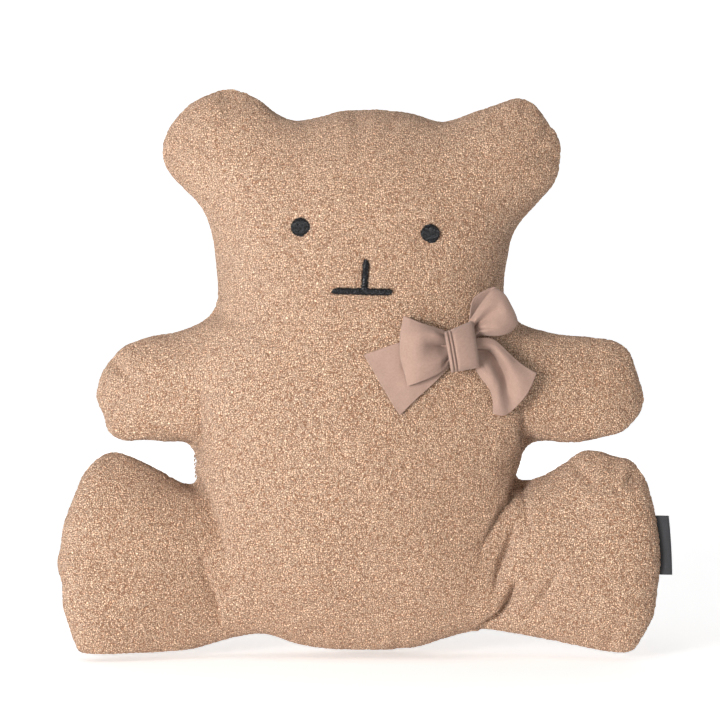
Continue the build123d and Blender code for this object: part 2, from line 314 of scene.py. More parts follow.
def flat_sheet():
    """The outline's flat mesh: its points, triangles and rim quads, and how many points lie on the seam."""
    seam = closed_curve(OUTLINE, MESH_STEP)
    count = len(seam)
    inward = inward_from(seam)
    for _ in range(6):
        inward = (np.roll(inward, 1, 0) + 2 * inward + np.roll(inward, -1, 0)) / 4
    inward = inward / np.linalg.norm(inward, axis=1)[:, None]
    rings = [seam] + [seam + inward * d for d in RIM_RINGS]
    inner = rings[-1]

    cut_points, cut_edges = fold_cuts(seam)
    points = np.vstack([inner, cut_points, inner_grid(seam, inner, cut_points)])
    edges = [(a + count, b + count) for a, b in cut_edges]
    made = delaunay_2d_cdt([Vector(p) for p in points], edges, [list(range(count))], 1, 1e-4)
    made_points, _, made_faces, made_from = made[:4]

    # The triangles' points are renumbered, so that the innermost ring is the rim's last ring.
    on_ring = {new: old for new, olds in enumerate(made_from) for old in olds if old < count}
    number = np.empty(len(made_points), int)
    total = count * len(rings)
    for new in range(len(made_points)):
        if new in on_ring:
            number[new] = count * (len(rings) - 1) + on_ring[new]
        else:
            number[new] = total
            total += 1
    plan = np.zeros((total, 2))
    plan[:count * len(rings)] = np.vstack(rings)
    plan[number] = np.array([tuple(v) for v in made_points])

    triangles = number[np.array([f for f in made_faces if len(f) == 3])]
    quads = []
    for i in range(len(rings) - 1):
        for j in range(count):
            k = (j + 1) % count
            quads.append((i * count + j, i * count + k, (i + 1) * count + k, (i + 1) * count + j))
    return plan, turned(triangles, plan), turned(np.array(quads), plan), count


def crease_hold(plan):
    """How strongly the creases hold the skin in at each point."""
    hold = np.zeros(len(plan))
    for line, strength, width in CREASES:
        samples = open_curve(line, 1.5)
        d, which = distance_to(plan, samples)
        fade = 1 - 0.6 * which / (len(samples) - 1)
        hold += strength / (width * math.sqrt(math.pi)) * np.exp(-((d / width) ** 2)) * fade
    return hold


def inflate(plan, triangles, quads, seam_count):
    """Crown heights over the seam plane, as of a stretched skin under pressure, held in at its creases."""
    faces = np.vstack([triangles, quads[:, [0, 1, 2]], quads[:, [0, 2, 3]]])
    rows, cols, weights = [], [], []
    area = np.zeros(len(plan))
    for k in range(3):
        i, j, o = faces[:, k], faces[:, (k + 1) % 3], faces[:, (k + 2) % 3]
        u, v = plan[i] - plan[o], plan[j] - plan[o]
        twice = np.abs(u[:, 0] * v[:, 1] - u[:, 1] * v[:, 0])
        cotangent = (u * v).sum(1) / np.maximum(twice, 1e-9)
        rows += [i, j]
        cols += [j, i]
        weights += [cotangent / 2, cotangent / 2]
        area += np.bincount(o, twice / 6, len(plan))
    rows, cols, weights = np.concatenate(rows), np.concatenate(cols), np.concatenate(weights)
    diagonal = np.bincount(rows, weights, len(plan)) + crease_hold(plan) * area
    free = np.ones(len(plan))
    free[:seam_count] = 0

    def stiffness(u):
        return free * (diagonal * u - np.bincount(rows, weights * u[cols], len(plan)))

    u = np.zeros(len(plan))
    residual = free * area
    smooth = residual / diagonal
    step = smooth.copy()
    energy = residual @ smooth
    for _ in range(900):
        moved = stiffness(step)
        length = energy / (step @ moved)
        u += length * step
        residual -= length * moved
        smooth = residual / diagonal
        next_energy = residual @ smooth
        if next_energy < 1e-10 * area.sum():
            break
        step = smooth + step * next_energy / energy
        energy = next_energy
    return FULLNESS * (2 * np.maximum(u, 0)) ** 0.5


def groove_depth(place):
    """How far each point of the front is sunk or raised by the sharp folds beside the limbs."""
    total = np.zeros(len(place))
    for line, depth, width, lap, starts_deep in GROOVES:
        samples = open_curve(smoothed(line), 1.0)
        low, high = samples.min(0) - 24, samples.max(0) + 24
        x, y, z = place.T
        near = np.flatnonzero((x > low[0]) & (x < high[0]) & (z > low[1]) & (z < high[1]) & (y < 2))
        plan = place[near][:, [0, 2]]
        d, which = distance_to(plan, samples)
        t = which / (len(samples) - 1)
        fade = (1 - t**1.6) if starts_deep else np.sin(math.pi * t) ** 0.7
        past = np.exp(-np.maximum(d - 1, 0) / width)
        along = np.gradient(samples, axis=0)[which]
        away = plan - samples[which]
        side = np.tanh((along[:, 0] * away[:, 1] - along[:, 1] * away[:, 0]) / 1.2)
        inner = np.clip(-y[near] / 6, 0, 1)
        total[near] += inner * fade * (lap * side * np.exp(-d / (2.6 * width)) - depth * past)
    return total


def smoothed(line):
    """A smooth version of a short open line."""
    p = np.array(line, float)
    return spline_rows(p, 8 * len(p))


def seam_pucker(plan, seam, seed, reach):
    """Valleys running in from the seam, at each point and along the seam, deepest where it turns outwards."""
    d, which = distance_to(plan, seam)
    turn = np.roll(seam, -3, 0) + np.roll(seam, 3, 0) - 2 * seam
    outward = seam - np.roll(seam, 1, 0)
    outward = np.c_[-outward[:, 1], outward[:, 0]]
    convex = -(turn * outward).sum(1)
    for _ in range(10):
        convex = (np.roll(convex, 1) + convex + np.roll(convex, -1)) / 3
    gather = 0.08 + 0.92 * np.clip((convex - 5) / 10, 0, 1)
    ring = np.c_[seam, np.zeros(len(seam))]
    wide = np.clip(noise(ring, 11, seed) * 1.7, 0, 1) ** 1.5
    narrow = 0.5 * np.clip(noise(ring, 6, seed + 7), 0, 1)
    valley = gather * (wide + narrow)
    return valley[which] * np.exp(-d / reach), valley


def bear_surface():
    """The coarse skin: its vertices, its faces, and each face's body and side."""
    plan, triangles, quads, seam_count = flat_sheet()
    height = inflate(plan, triangles, quads, seam_count)
    seam = plan[:seam_count]
    past_hip = np.abs(plan[:, 0]) - HIP_X
    in_leg = 1 / (1 + np.exp((plan[:, 1] - HIP_Z) / 10))
    middle = -LEG_FORWARD * np.log1p(np.exp(past_hip / HIP_BEND)) * HIP_BEND * in_leg

    pucker, seam_valley = seam_pucker(plan, seam, SEED, 17)
    drawn_in = inward_from(seam) * (SEAM_DRAWN_IN * seam_valley)[:, None]
    wave = noise(np.c_[seam, seam[:, 0] * 0], 14, SEED + 9) * SEAM_WAVE
    sides = []
    for side, seed in ((-1, SEED), (1, SEED + 40)):
        own_pucker, _ = seam_pucker(plan, seam, seed, 11)
        rise = height * (1 - SHARED_PUCKER * pucker - OWN_PUCKER * own_pucker)
        place = np.c_[plan[:, 0], middle + side * rise, plan[:, 1]]
        lumps = sum(noise(place + side * 500, size, SEED + own) * tall for size, tall, own in LUMPS)
        place[:, 1] += side * lumps * np.clip(height / 20, 0, 1)
        place[:seam_count, 0] += drawn_in[:, 0]
        place[:seam_count, 2] += drawn_in[:, 1]
        place[:seam_count, 1] = middle[:seam_count] + wave
        sides.append(place)
    front, back = sides

    n = len(plan)
    back_number = np.r_[np.arange(seam_count), np.arange(n, 2 * n - seam_count)]
    vertices = np.vstack([front, back[seam_count:]])
    flat_floor(vertices)
    faces, owners = [], []
    for group in (triangles, quads):
        owner = body_of_point(plan[group].mean(1))
        faces += [tuple(f) for f in group]
        owners += list(owner)
        faces += [tuple(f[::-1]) for f in back_number[group]]
        owners += list(owner + len(BODIES))
    return vertices, faces, owners


def flat_floor(vertices):
    """Spreads the undersides of the body and legs so that they rest on the floor."""
    z = vertices[:, 2]
    depth = np.abs(vertices[:, 1])
    near = np.clip(1 - z / FLOOR_REACH, 0, 1)
    spread = FLOOR_SPREAD * near**1.5 * np.clip(depth / 32, 0, 1)
    lowered = z - spread
    vertices[:, 2] = np.where(lowered < 3, 1.4 + 1.6 * np.exp((lowered - 3) / 3), lowered)


def mesh_from(name, vertices, faces):
    """A mesh object from vertices in metres and faces of one size, shaded smooth."""
    mesh = bpy.data.meshes.new(name)
    faces = np.asarray(faces, np.int32)
    size = faces.shape[1]
    mesh.vertices.add(len(vertices))
    mesh.vertices.foreach_set("co", np.asarray(vertices, np.float32).ravel())
    mesh.loops.add(faces.size)
    mesh.loops.foreach_set("vertex_index", faces.ravel())
    mesh.polygons.add(len(faces))
    mesh.polygons.foreach_set("loop_start", np.arange(0, faces.size, size, dtype=np.int32))
    mesh.polygons.foreach_set("use_smooth", np.ones(len(faces), bool))
    mesh.update(calc_edges=True)
    mesh.validate()
    thing = bpy.data.objects.new(name, mesh)
    bpy.context.collection.objects.link(thing)
    return thing


def set_attribute(thing, name, values, kind="FLOAT"):
    """Gives each vertex its value of a named attribute."""
    attribute = thing.data.attributes.new(name, kind, "POINT")
    field = "vector" if kind == "FLOAT_VECTOR" else "value"
    attribute.data.foreach_set(field, np.asarray(values, np.float32).ravel())


def embroidery_cover(points):
    """How far each point of the front lies under the embroidery, from 0 to 1, and how near it is."""
    plan = points[:, [0, 2]]
    gap = np.full(len(points), 99.0)
    for centre in EYES.values():
        gap = np.minimum(gap, np.linalg.norm(plan - centre, axis=1) - EYE_RADIUS)
    for line in (NOSE, MOUTH):
        a, b = np.array(line[0]), np.array(line[1])
        t = np.clip((plan - a) @ (b - a) / ((b - a) @ (b - a)), 0, 1)
        away = plan - a - t[:, None] * (b - a)
        gap = np.minimum(gap, np.linalg.norm(away, axis=1) - BAR_HALF_WIDTH)
    gap = np.where(points[:, 1] < 0, gap, 99.0)
    return np.clip(0.5 - gap / 1.5, 0, 1), np.exp(-(np.maximum(gap, 0) / 4.5) ** 2)


def skin_pieces(material):
    """The fine, curled skin, cut into two pieces for each body, and the places of all its points."""
    vertices, faces, owners = bear_surface()
    mesh = bpy.data.meshes.new("skin")
    mesh.from_pydata((vertices * MM).tolist(), [], faces)
    mesh.attributes.new("owner", "INT", "FACE").data.foreach_set("value", np.array(owners, np.int32))
    whole = bpy.data.objects.new("skin", mesh)
    bpy.context.collection.objects.link(whole)
    divide = whole.modifiers.new("divide", "SUBSURF")
    divide.levels = divide.render_levels = SUBDIVISIONS
    fine = bpy.data.meshes.new_from_object(whole.evaluated_get(bpy.context.evaluated_depsgraph_get()))
    bpy.data.objects.remove(whole)

    count = len(fine.vertices)
    place = np.empty(count * 3, np.float32)
    fine.vertices.foreach_get("co", place)
    place = place.reshape(-1, 3).astype(float) / MM
    normals = np.empty(count * 3, np.float32)
    fine.vertices.foreach_get("normal", normals)
    normals = normals.reshape(-1, 3).astype(float)
    corners = np.empty(len(fine.loops), np.int32)
    fine.loops.foreach_get("vertex_index", corners)
    quads = corners.reshape(-1, 4)
    owner = np.empty(len(quads), np.int32)
    fine.attributes["owner"].data.foreach_get("value", owner)

    covered, near = embroidery_cover(place)
    place = place + normals * groove_depth(place)[:, None]
    warp = np.stack([noise(place, 3.2, SEED + 20 + k) for k in range(3)], 1)
    curl = 1 - np.clip(cell_distance(place + warp * 0.7, CURL_CELL, SEED + 30) / 0.62, 0, 1.3) ** 2
    patch = 1 + 0.15 * noise(place, 16, SEED + 32)
    rise = (CURL_HEIGHT * curl * patch - 1.3 * near) * (1 - covered) - EMBROIDERY_SUNK * covered
    place = place + normals * rise[:, None]
    place[:, 2] = np.maximum(place[:, 2], LOWEST)
    # Lower parts of the curls darker in the colour: painted shade, passed to the material as the attribute
    # curl.
    shade = np.clip(0.5 + 0.5 * curl, 0, 1)

    pieces = {}
    for number, body in enumerate(BODIES):
        for offset, side in ((0, "front"), (len(BODIES), "back")):
            chosen = quads[owner == number + offset]
            used, local = np.unique(chosen, return_inverse=True)
            piece = mesh_from(f"{body}_{side}_boucle", place[used] * MM, local.reshape(-1, 4))
            set_attribute(piece, "curl", shade[used])
            set_attribute(piece, "rest", place[used] * MM, "FLOAT_VECTOR")
            piece.data.materials.append(material)
            pieces[body, side] = piece
    return pieces, place


def place_skin(pieces):
    """Attaches the torso's skin to its body, bakes the other pieces where they stand, and hides the panels
    and stuffing that they replace.
    """
    for (body, side), piece in pieces.items():
        if body == "torso":
            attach(piece, "torso")
        elif body == "head":
            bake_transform(piece)
        else:
            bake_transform(piece)
        replaced = [f"{body}_{side}_panel"] + ([f"{body}_stuffing"] if side == "front" else [])
        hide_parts(*replaced)


class Nodes:
    """A short way to write a material's nodes. An input goes by its name, or as _0 or _1 by its number."""

    def __init__(self, name):
        self.material = bpy.data.materials.new(name)
        self.material.use_nodes = True
        self.tree = self.material.node_tree
        self.shader = self.tree.nodes["Principled BSDF"]

    def add(self, kind, settings=None, **inputs):
        node = self.tree.nodes.new("ShaderNode" + kind)
        for key, value in (settings or {}).items():
            setattr(node, key, value)
        for key, value in inputs.items():
            numbered = key[0] == "_" and key[1:].isdigit()
            socket = node.inputs[int(key[1:]) if numbered else key.replace("_", " ")]
            if isinstance(value, bpy.types.NodeSocket):
                self.tree.links.new(value, socket)
            else:
                socket.default_value = value
        return node

    def attribute(self, name, output="Vector"):
        return self.add("Attribute", {"attribute_name": name}).outputs[output]

    def noise(self, place, scale, detail, roughness=0.5, output=0):
        node = self.add("TexNoise", Vector=place, Scale=scale, Detail=detail, Roughness=roughness)
        return node.outputs[output]

    def waves(self, place, direction, scale, distortion):
        settings = {"bands_direction": direction}
        node = self.add("TexWave", settings, Vector=place, Scale=scale, Distortion=distortion)
        return node.outputs["Fac"]

    def cells(self, place, feature, scale, randomness):
        settings = {"feature": feature}
        node = self.add("TexVoronoi", settings, Vector=place, Scale=scale, Randomness=randomness)
        return node.outputs["Distance"]

    def shift(self, operation, a, b):
        return self.add("VectorMath", {"operation": operation}, _0=a, _1=b).outputs[0]

    def math(self, operation, a, b):
        return self.add("Math", {"operation": operation}, _0=a, _1=b).outputs[0]

    def weighted(self, *parts):
        """The sum of each value times its weight."""
        products = [self.math("MULTIPLY", value, weight) for value, weight in parts]
        total = products[0]
        for product in products[1:]:
            total = self.math("ADD", total, product)
        return total

    def ramp(self, value, stops):
        node = self.add("ValToRGB", Fac=value)
        elements = node.color_ramp.elements
        for element, (position, colour) in zip(elements, (stops[0], stops[-1])):
            element.position = position
            element.color = (*colour, 1)
        for position, colour in stops[1:-1]:
            elements.new(position).color = (*colour, 1)
        return node.outputs["Color"]

    def finish(self, colour, height, strength, distance, **constants):
        bump = self.add("Bump", Height=height, Strength=strength, Distance=distance)
        self.tree.links.new(colour, self.shader.inputs["Base Color"])
        self.tree.links.new(bump.outputs[0], self.shader.inputs["Normal"])
        for key, value in constants.items():
            self.shader.inputs[key.replace("_", " ")].default_value = value
        return self.material


def boucle_material():
    """Tan bouclé: pale curls lit by a painted highlight at their tips, over ground darkened by painted shade
    in the gaps between them.
    """
    m = Nodes("boucle")
    rest = m.attribute("rest")
    # The stored curl height, used as painted shade: lower parts of the curls darker.
    curl = m.attribute("curl", "Fac")
    stir = m.shift("SUBTRACT", m.noise(rest, 400, 1, 0.4, "Color"), (0.5, 0.5, 0.5))
    stir = m.add("VectorMath", {"operation": "SCALE"}, _0=stir, Scale=0.0030).outputs[0]
    place = m.shift("ADD", rest, stir)
    from_tip = m.cells(place, "F1", 680, 0.7)
    from_edge = m.cells(place, "DISTANCE_TO_EDGE", 680, 0.7)
    # Lighter towards each curl's middle: painted highlight on the curl tips, and also the curls' rise in the
    # bump.
    tip_rise_and_highlight = m.math("SUBTRACT", 1.0, m.math("MULTIPLY", from_tip, 1.35))
    smooth = {"interpolation_type": "SMOOTHSTEP"}
    # Darker along the cell edges: painted shade in the gaps between the curls.
    gap = m.add("MapRange", smooth, Value=from_edge, _1=0.0, _2=0.2).outputs[0]
    fibre = m.noise(rest, 1500, 2, 0.6)
    patches = m.noise(rest, 14, 2)
    # Painted highlight and shade of the curls together, which also feeds the bump height.
    loops = m.math("MULTIPLY", gap, m.math("ADD", m.math("MULTIPLY", tip_rise_and_highlight, 0.62), 0.38))
    fibre_tone = m.math("SUBTRACT", fibre, 0.5)
    patch_tone = m.math("SUBTRACT", patches, 0.5)
    # Tone of the colour: the curls' painted highlight and shade, a little painted shade from the stored curl
    # height, and random fibre and patch tone.
    tone = m.weighted((loops, 0.90), (curl, 0.04), (fibre_tone, 0.22), (patch_tone, 0.04))
    # Ramp from painted shade in the gaps up to painted highlight on the tips.
    colour = m.ramp(tone, [
        (0.05, (0.235, 0.112, 0.058)), (0.27, (0.56, 0.315, 0.188)),
        (0.52, (0.80, 0.485, 0.308)), (0.84, (0.97, 0.725, 0.515)),
    ])
    height = m.math("ADD", loops, m.math("MULTIPLY", fibre, 0.25))
    return m.finish(
        colour, height, 1.0, 0.0016,
        Roughness=0.85, Sheen_Weight=0.15, Sheen_Roughness=0.5, Specular_IOR_Level=0.25,
    )


def thread_material(name, dark, light, roughness):
    """Sewing or embroidery thread with its twist."""
    m = Nodes(name)
    place = m.add("TexCoord").outputs["Object"]
    twist = m.waves(place, "DIAGONAL", 420, 1.5)
    colour = m.ramp(m.noise(place, 500, 2), [(0.3, dark), (0.75, light)])
    return m.finish(colour, twist, 0.5, 0.0003, Roughness=roughness, Specular_IOR_Level=0.32)


def cotton_material(name, dark, light):
    """Plain-weave cotton, woven along the piece's own weave coordinates."""
    m = Nodes(name)
    weave = m.attribute("weave")
    warp = m.waves(weave, "X", 0.62, 0.5)
    weft = m.waves(weave, "Y", 0.62, 0.5)
    slub = m.noise(weave, 0.55, 4, 0.65)
    haze = m.noise(weave, 0.06, 3)
    cloth = m.math("MULTIPLY", m.math("ADD", warp, weft), 0.5)
    tone = m.weighted((cloth, 0.3), (slub, 0.45), (haze, 0.25))
    colour = m.ramp(tone, [(0.25, dark), (0.75, light)])
    height = m.math("ADD", cloth, m.math("MULTIPLY", slub, 0.8))
    return m.finish(
        colour, height, 0.35, 0.00035,
        Roughness=0.85, Sheen_Weight=0.15, Sheen_Roughness=0.5, Specular_IOR_Level=0.2,
    )


def satin_material():
    """Black woven label tape."""
    m = Nodes("label_satin")
    weave = m.attribute("weave")
    ribs = m.waves(weave, "Y", 0.8, 0.3)
    colour = m.ramp(m.noise(weave, 1.2, 3), [(0.3, (0.010, 0.010, 0.012)), (0.8, (0.026, 0.026, 0.030))])
    return m.finish(colour, ribs, 0.4, 0.0002, Roughness=0.5, Sheen_Weight=0.2, Specular_IOR_Level=0.4)


class FrontSurface:
    """Finds the front skin's depth over a point of the seam plane."""

    def __init__(self, place):
        front = place[place[:, 1] < -4]
        self.front = front
        self.tree = kdtree.KDTree(len(front))
        for i, p in enumerate(front):
            self.tree.insert((p[0], 0, p[2]), i)
        self.tree.balance()

    def depth(self, x, z, count=24):
        found = self.tree.find_n((x, 0, z), count)
        return float(np.mean([self.front[i][1] for _, i, _ in found]))


def tube(path, radius, sides=8):
    """Vertices and quads of a round strand along a path, drawn in at both ends."""
    path = np.asarray(path, float)
    n = len(path)
    along = np.gradient(path, axis=0)
    along /= np.linalg.norm(along, axis=1)[:, None]
    across = np.cross(along, (0, 1, 0))
    across /= np.linalg.norm(across, axis=1)[:, None]
    up = np.cross(across, along)
    t = np.linspace(0, 1, n)
    thick = radius * np.clip(np.sin(math.pi * t) * 4, 0.25, 1) ** 0.5
    turn = np.linspace(0, 2 * math.pi, sides, endpoint=False)
    rings = path[:, None] + thick[:, None, None] * (
        across[:, None] * np.cos(turn)[None, :, None] + up[:, None] * np.sin(turn)[None, :, None])
    quads = []
    for i in range(n - 1):
        for j in range(sides):
            k = (j + 1) % sides
            quads.append((i * sides + j, i * sides + k, (i + 1) * sides + k, (i + 1) * sides + j))
    return rings.reshape(-1, 3), np.array(quads)


def strands(name, paths, radius, material):
    """One piece made of many strands."""
    vertices, quads, count = [], [], 0
    for i, path in enumerate(paths):
        v, q = tube(path, radius * (1 + 0.12 * math.sin(5.1 * i)))
        vertices.append(v)
        quads.append(q + count)
        count += len(v)
    piece = mesh_from(name, np.vstack(vertices) * MM, np.vstack(quads))
    piece.data.materials.append(material)
    return piece


def stitch(a, b, crown, base, rng):
    """One stitch from a to b in the seam plane, arched over the patch."""
    t = np.linspace(0, 1, 9)
    x, z = a[0] + (b[0] - a[0]) * t, a[1] + (b[1] - a[1]) * t
    arch = crown * np.sin(math.pi * t) ** 0.6
    tucked = 1.2 * (np.abs(2 * t - 1) ** 6)
    return np.c_[x, base - arch + tucked + rng.uniform(-0.25, 0.25), z]


def eye_paths(surface, centre, rng):
    """The two crossed layers of stitches of a round eye."""
    base = surface.depth(*centre, 200) - 1.0
    step, lean = 1.05, 0.25
    count = int(EYE_RADIUS * 2 / step)
    paths = []
    for layer, angle in ((0, lean), (1, lean + 1.35)):
        along = np.array([math.cos(angle), math.sin(angle)])
        across = np.array([-math.sin(angle), math.cos(angle)])
        for i in range(count):
            offset = (i + 0.5 - count / 2) * step
            reach = math.sqrt(max(EYE_RADIUS**2 - offset**2, 1.0)) * rng.uniform(0.97, 1.04)
            middle = np.array(centre) + across * offset
            dome = 1.6 * math.sqrt(max(1 - (offset / EYE_RADIUS) ** 2, 0.05)) - 0.6 + 0.7 * layer
            paths.append(stitch(middle - along * reach, middle + along * reach, dome, base, rng))
    return paths


def bar_paths(surface, line, flared, rng):
    """A bar of satin stitch over four padding stitches, wider at its first end if it is flared."""
    a, b = np.array(line[0]), np.array(line[1])
    length = np.linalg.norm(b - a)
    along = (b - a) / length
    across = np.array([-along[1], along[0]])
    paths = []
    for shift in (-1.5, -0.5, 0.5, 1.5):
        start, stop = a + across * shift - along * 0.4, b + across * shift + along * 0.4
        under = stitch(start, stop, 0.5, 0, rng)
        under[:, 1] += [surface.depth(x, z, 120) - 0.8 for x, _, z in under]
        paths.append(under)
    count = int(length / 1.15)
    for i in range(count + 1):
        t = i / count
        centre = a + along * length * t
        to_end = min(t, 1 - t) * length / 2.4
        wide = 2.7 * min(1, 0.55 + 0.45 * to_end) * rng.uniform(0.9, 1.1)
        if flared:
            wide += 2.2 * max(0, 1 - t * length / 5) ** 2
        slant = along * rng.uniform(0.4, 1.1)
        base = surface.depth(*centre, 120) - 1.1
        paths.append(stitch(centre - across * wide - slant, centre + across * wide + slant, 1.3, base, rng))
    return paths


def face(surface, material):
    """The satin-stitched eyes, nose and mouth."""
    rng = np.random.default_rng(SEED)
    pieces = {}
    for name, centre in EYES.items():
        pieces[name] = strands(f"{name}_stitches", eye_paths(surface, centre, rng), 0.62, material)
    for name, line in (("nose_stitch", NOSE), ("mouth_stitch", MOUTH)):
        paths = bar_paths(surface, line, name == "nose_stitch", rng)
        pieces[name] = strands(f"{name}es", paths, 0.60, material)
    for node, piece in pieces.items():
        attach(piece, "head")
        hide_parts(node)


def spline_rows(rows, count):
    """Interpolates a list of equal rows of points smoothly to count rows."""
    p = np.asarray(rows, float)
    p = np.concatenate([2 * p[:1] - p[1:2], p, 2 * p[-1:] - p[-2:-1]])
    at = np.linspace(0, len(rows) - 1, count)
    i = np.minimum(at.astype(int), len(rows) - 2)
    t = (at - i).reshape(-1, *([1] * (p.ndim - 1)))
    a, b, c, d = p[i], p[i + 1], p[i + 2], p[i + 3]
    square, cube = 2 * a - 5 * b + 4 * c - d, 3 * b - a - 3 * c + d
    return 0.5 * (2 * b + (c - a) * t + square * t**2 + cube * t**3)


def ribbon(name, rows, size, thickness, material, crinkle=0.7, detail=(96, 64), pleats=()):
    """A ribbon as a thin closed skin through rows of control points. size is its length and width.

    A pleat is a furrow from (s, w) to (s, w), as shares of the length and width, with its depth.
    """
    grid = spline_rows(rows, detail[0])
    grid = np.swapaxes(spline_rows(np.swapaxes(grid, 0, 1), detail[1]), 0, 1)
    shares = [np.linspace(0, 1, count) for count in detail]
    share_s, share_w = np.meshgrid(*shares, indexing="ij")
    for (s0, w0), (s1, w1), depth in pleats:
        t = np.clip((share_s - s0) / (s1 - s0), 0, 1)
        beyond = np.maximum(np.maximum(s0 - share_s, share_s - s1), 0) / 0.03
        off = (share_w - (w0 + (w1 - w0) * t)) / (0.022 + 0.05 * t)
        grid[..., 1] += depth * (1 - t) ** 0.8 * np.exp(-np.abs(off) ** 1.3 - beyond**2)

    middle = grid.reshape(-1, 3)
    normal = np.cross(np.gradient(grid, axis=0), np.gradient(grid, axis=1)).reshape(-1, 3)
    normal /= np.maximum(np.linalg.norm(normal, axis=1), 1e-9)[:, None]
    length, width = (np.linspace(0, size[k], detail[k]) for k in (0, 1))
    s, w = np.meshgrid(length, width, indexing="ij")
    weave = np.c_[s.ravel(), w.ravel(), np.zeros(s.size)]
    place = weave + len(name) * 31
    ripple = noise(place, 14, SEED + 60) + 0.35 * noise(place, 6, SEED + 61)
    middle = middle + normal * (crinkle * ripple)[:, None]
    top, bottom = middle + normal * thickness / 2, middle - normal * thickness / 2

    n = len(middle)
    index = np.arange(n).reshape(detail)
    a, b, c, d = (part.ravel() for part in (index[:-1, :-1], index[1:, :-1], index[1:, 1:], index[:-1, 1:]))
    rim = np.r_[index[0, :-1], index[:-1, -1], index[-1, :0:-1], index[:0:-1, 0]]
    following = np.roll(rim, -1)
    faces = [np.c_[a, b, c, d], np.c_[a, d, c, b] + n, np.c_[rim, following, following + n, rim + n]]
    piece = mesh_from(name, np.vstack([top, bottom]) * MM, np.vstack(faces))
    set_attribute(piece, "weave", np.vstack([weave, weave]), "FLOAT_VECTOR")
    piece.data.materials.append(material)
    return piece


def bend_from_knot(piece):
    """Bakes the piece's placement into its mesh, where it stays."""
    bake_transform(piece)


# The bow's ribbons, as rows of control points from the knot outwards, and for a loop back to it. A point is
# (x, z, out) from the knot's middle, where out is how far it stands in front of the skin.
BOW_ROWS = {
    "bow_loop_right": [
        [(-8, -9, 7), (-9, -3, 9), (-9.6, 3, 7), (-10.2, 9, 9), (-10.8, 13, 7)],
        [(-12.6, -14.5, 7.5), (-13.3, -6.5, 12), (-14.1, 1.5, 7), (-15.5, 9.5, 12.5), (-17.2, 15.3, 8.5)],
        [(-20, -20, 9), (-21, -10, 15), (-22, 1, 9), (-23, 11, 16), (-24, 17.5, 10)],
        [(-31, -25, 11), (-33, -13, 16), (-34, -0.5, 15.5), (-34, 12, 17), (-33, 20.5, 12)],
        [(-39, -28, 9.5), (-42, -15, 13), (-44, -1, 13.5), (-43.5, 12.5, 13.5), (-41.5, 24, 10)],
        [(-43.5, -29.5, 6.5), (-47, -15.5, 7.5), (-49.5, -1.3, 8), (-49.2, 13, 7.5), (-46.8, 26, 6.5)],
        [(-38.5, -26.5, 4.6), (-42, -14, 3.8), (-44, -1, 3.8), (-43.5, 11.5, 3.8), (-41, 22.5, 4.6)],
        [(-27, -21, 4.4), (-30, -11, 3.4), (-31, -1, 3.6), (-31, 10, 3.4), (-29, 17.5, 4.4)],
        [(-8.6, -9, 5.5), (-9, -4, 5), (-9.6, 2, 5.5), (-10, 8, 5), (-10.6, 12, 5.5)],
    ],
    "bow_loop_left": [
        [(9.5, 6, 7), (9.4, 9, 9), (8.8, 12, 7), (7.6, 15, 9), (6, 17, 7)],
        [(12.5, 11, 8), (13.5, 14, 12), (11.5, 17.5, 8), (9.5, 20, 11.5), (5.5, 21, 9.5)],
        [(20, 10, 9), (20.5, 15.5, 15.5), (16.5, 21.5, 10.5), (13.5, 25.5, 15), (9.5, 27, 11)],
        [(29, 10, 9), (30.5, 18.5, 16), (26, 29, 13), (21.5, 35, 15.5), (16, 36.5, 11.5)],
        [(37, 11.5, 8), (39.5, 21, 13), (34, 33.5, 14), (29, 41, 14), (22.5, 45, 12.5)],
        [(40.5, 13, 4), (44.5, 22, 7), (38.5, 36, 9), (33.5, 43.5, 10), (26.5, 48.5, 9.5)],
        [(36, 13.5, 1), (39.5, 21.5, 1.5), (33, 34.5, 3), (26, 42.5, 5.5), (20, 46.5, 6.5)],
        [(25, 12.5, 1), (26, 19, 0.8), (20.5, 28.5, 1.4), (14, 36, 3.4), (9, 38.5, 4.4)],
        [(9, 7, 5.5), (9, 10, 5), (8.5, 13, 4.5), (7, 16.5, 5), (5.4, 18, 5.5)],
    ],
    "bow_tail_right": [
        [(-8.5, -13, 5), (-9.3, -8, 6), (-9.8, -3, 5), (-10.3, 3, 6), (-10.6, 9, 5)],
        [(-22.3, -27, 3.2), (-25, -17, 4), (-27.5, -8, 2.6), (-29, 1, 4), (-30.4, 10, 3)],
        [(-36.6, -40, 2.4), (-41, -28.5, 3), (-45.5, -17.5, 2), (-50, -7, 3.2), (-53.9, 3.6, 2.4)],
        [(-49.8, -53, 2.2), (-57.5, -41, 2.2), (-64.8, -28.5, 2.6), (-71.8, -16.5, 2.2), (-78.4, -5, 2.2)],
    ],
    "bow_tail_left": [
        [(9, -13, 6.5), (9.6, -8, 8), (9.8, -3, 6), (9.8, 2, 8.5), (9.3, 8, 7.5)],
        [(14, -22.5, 5), (17.5, -13.5, 8.5), (21, -4.5, 1.5), (24, 1.5, 10), (25.5, 6.5, 8)],
        [(21.5, -32, 5), (25.5, -23, 9), (29.2, -14.5, 1.5), (34, -8.5, 11), (38, -4.3, 8)],
        [(24.5, -41.5, 4.5), (29.7, -34, 7.5), (35, -27, 2.4), (41.5, -19, 10), (48.5, -13.5, 7)],
        [(25, -52.5, 4.5), (33, -54, 5.5), (41, -50, 4.5), (52.5, -37, 7.5), (60.5, -20.5, 6)],
    ],
}
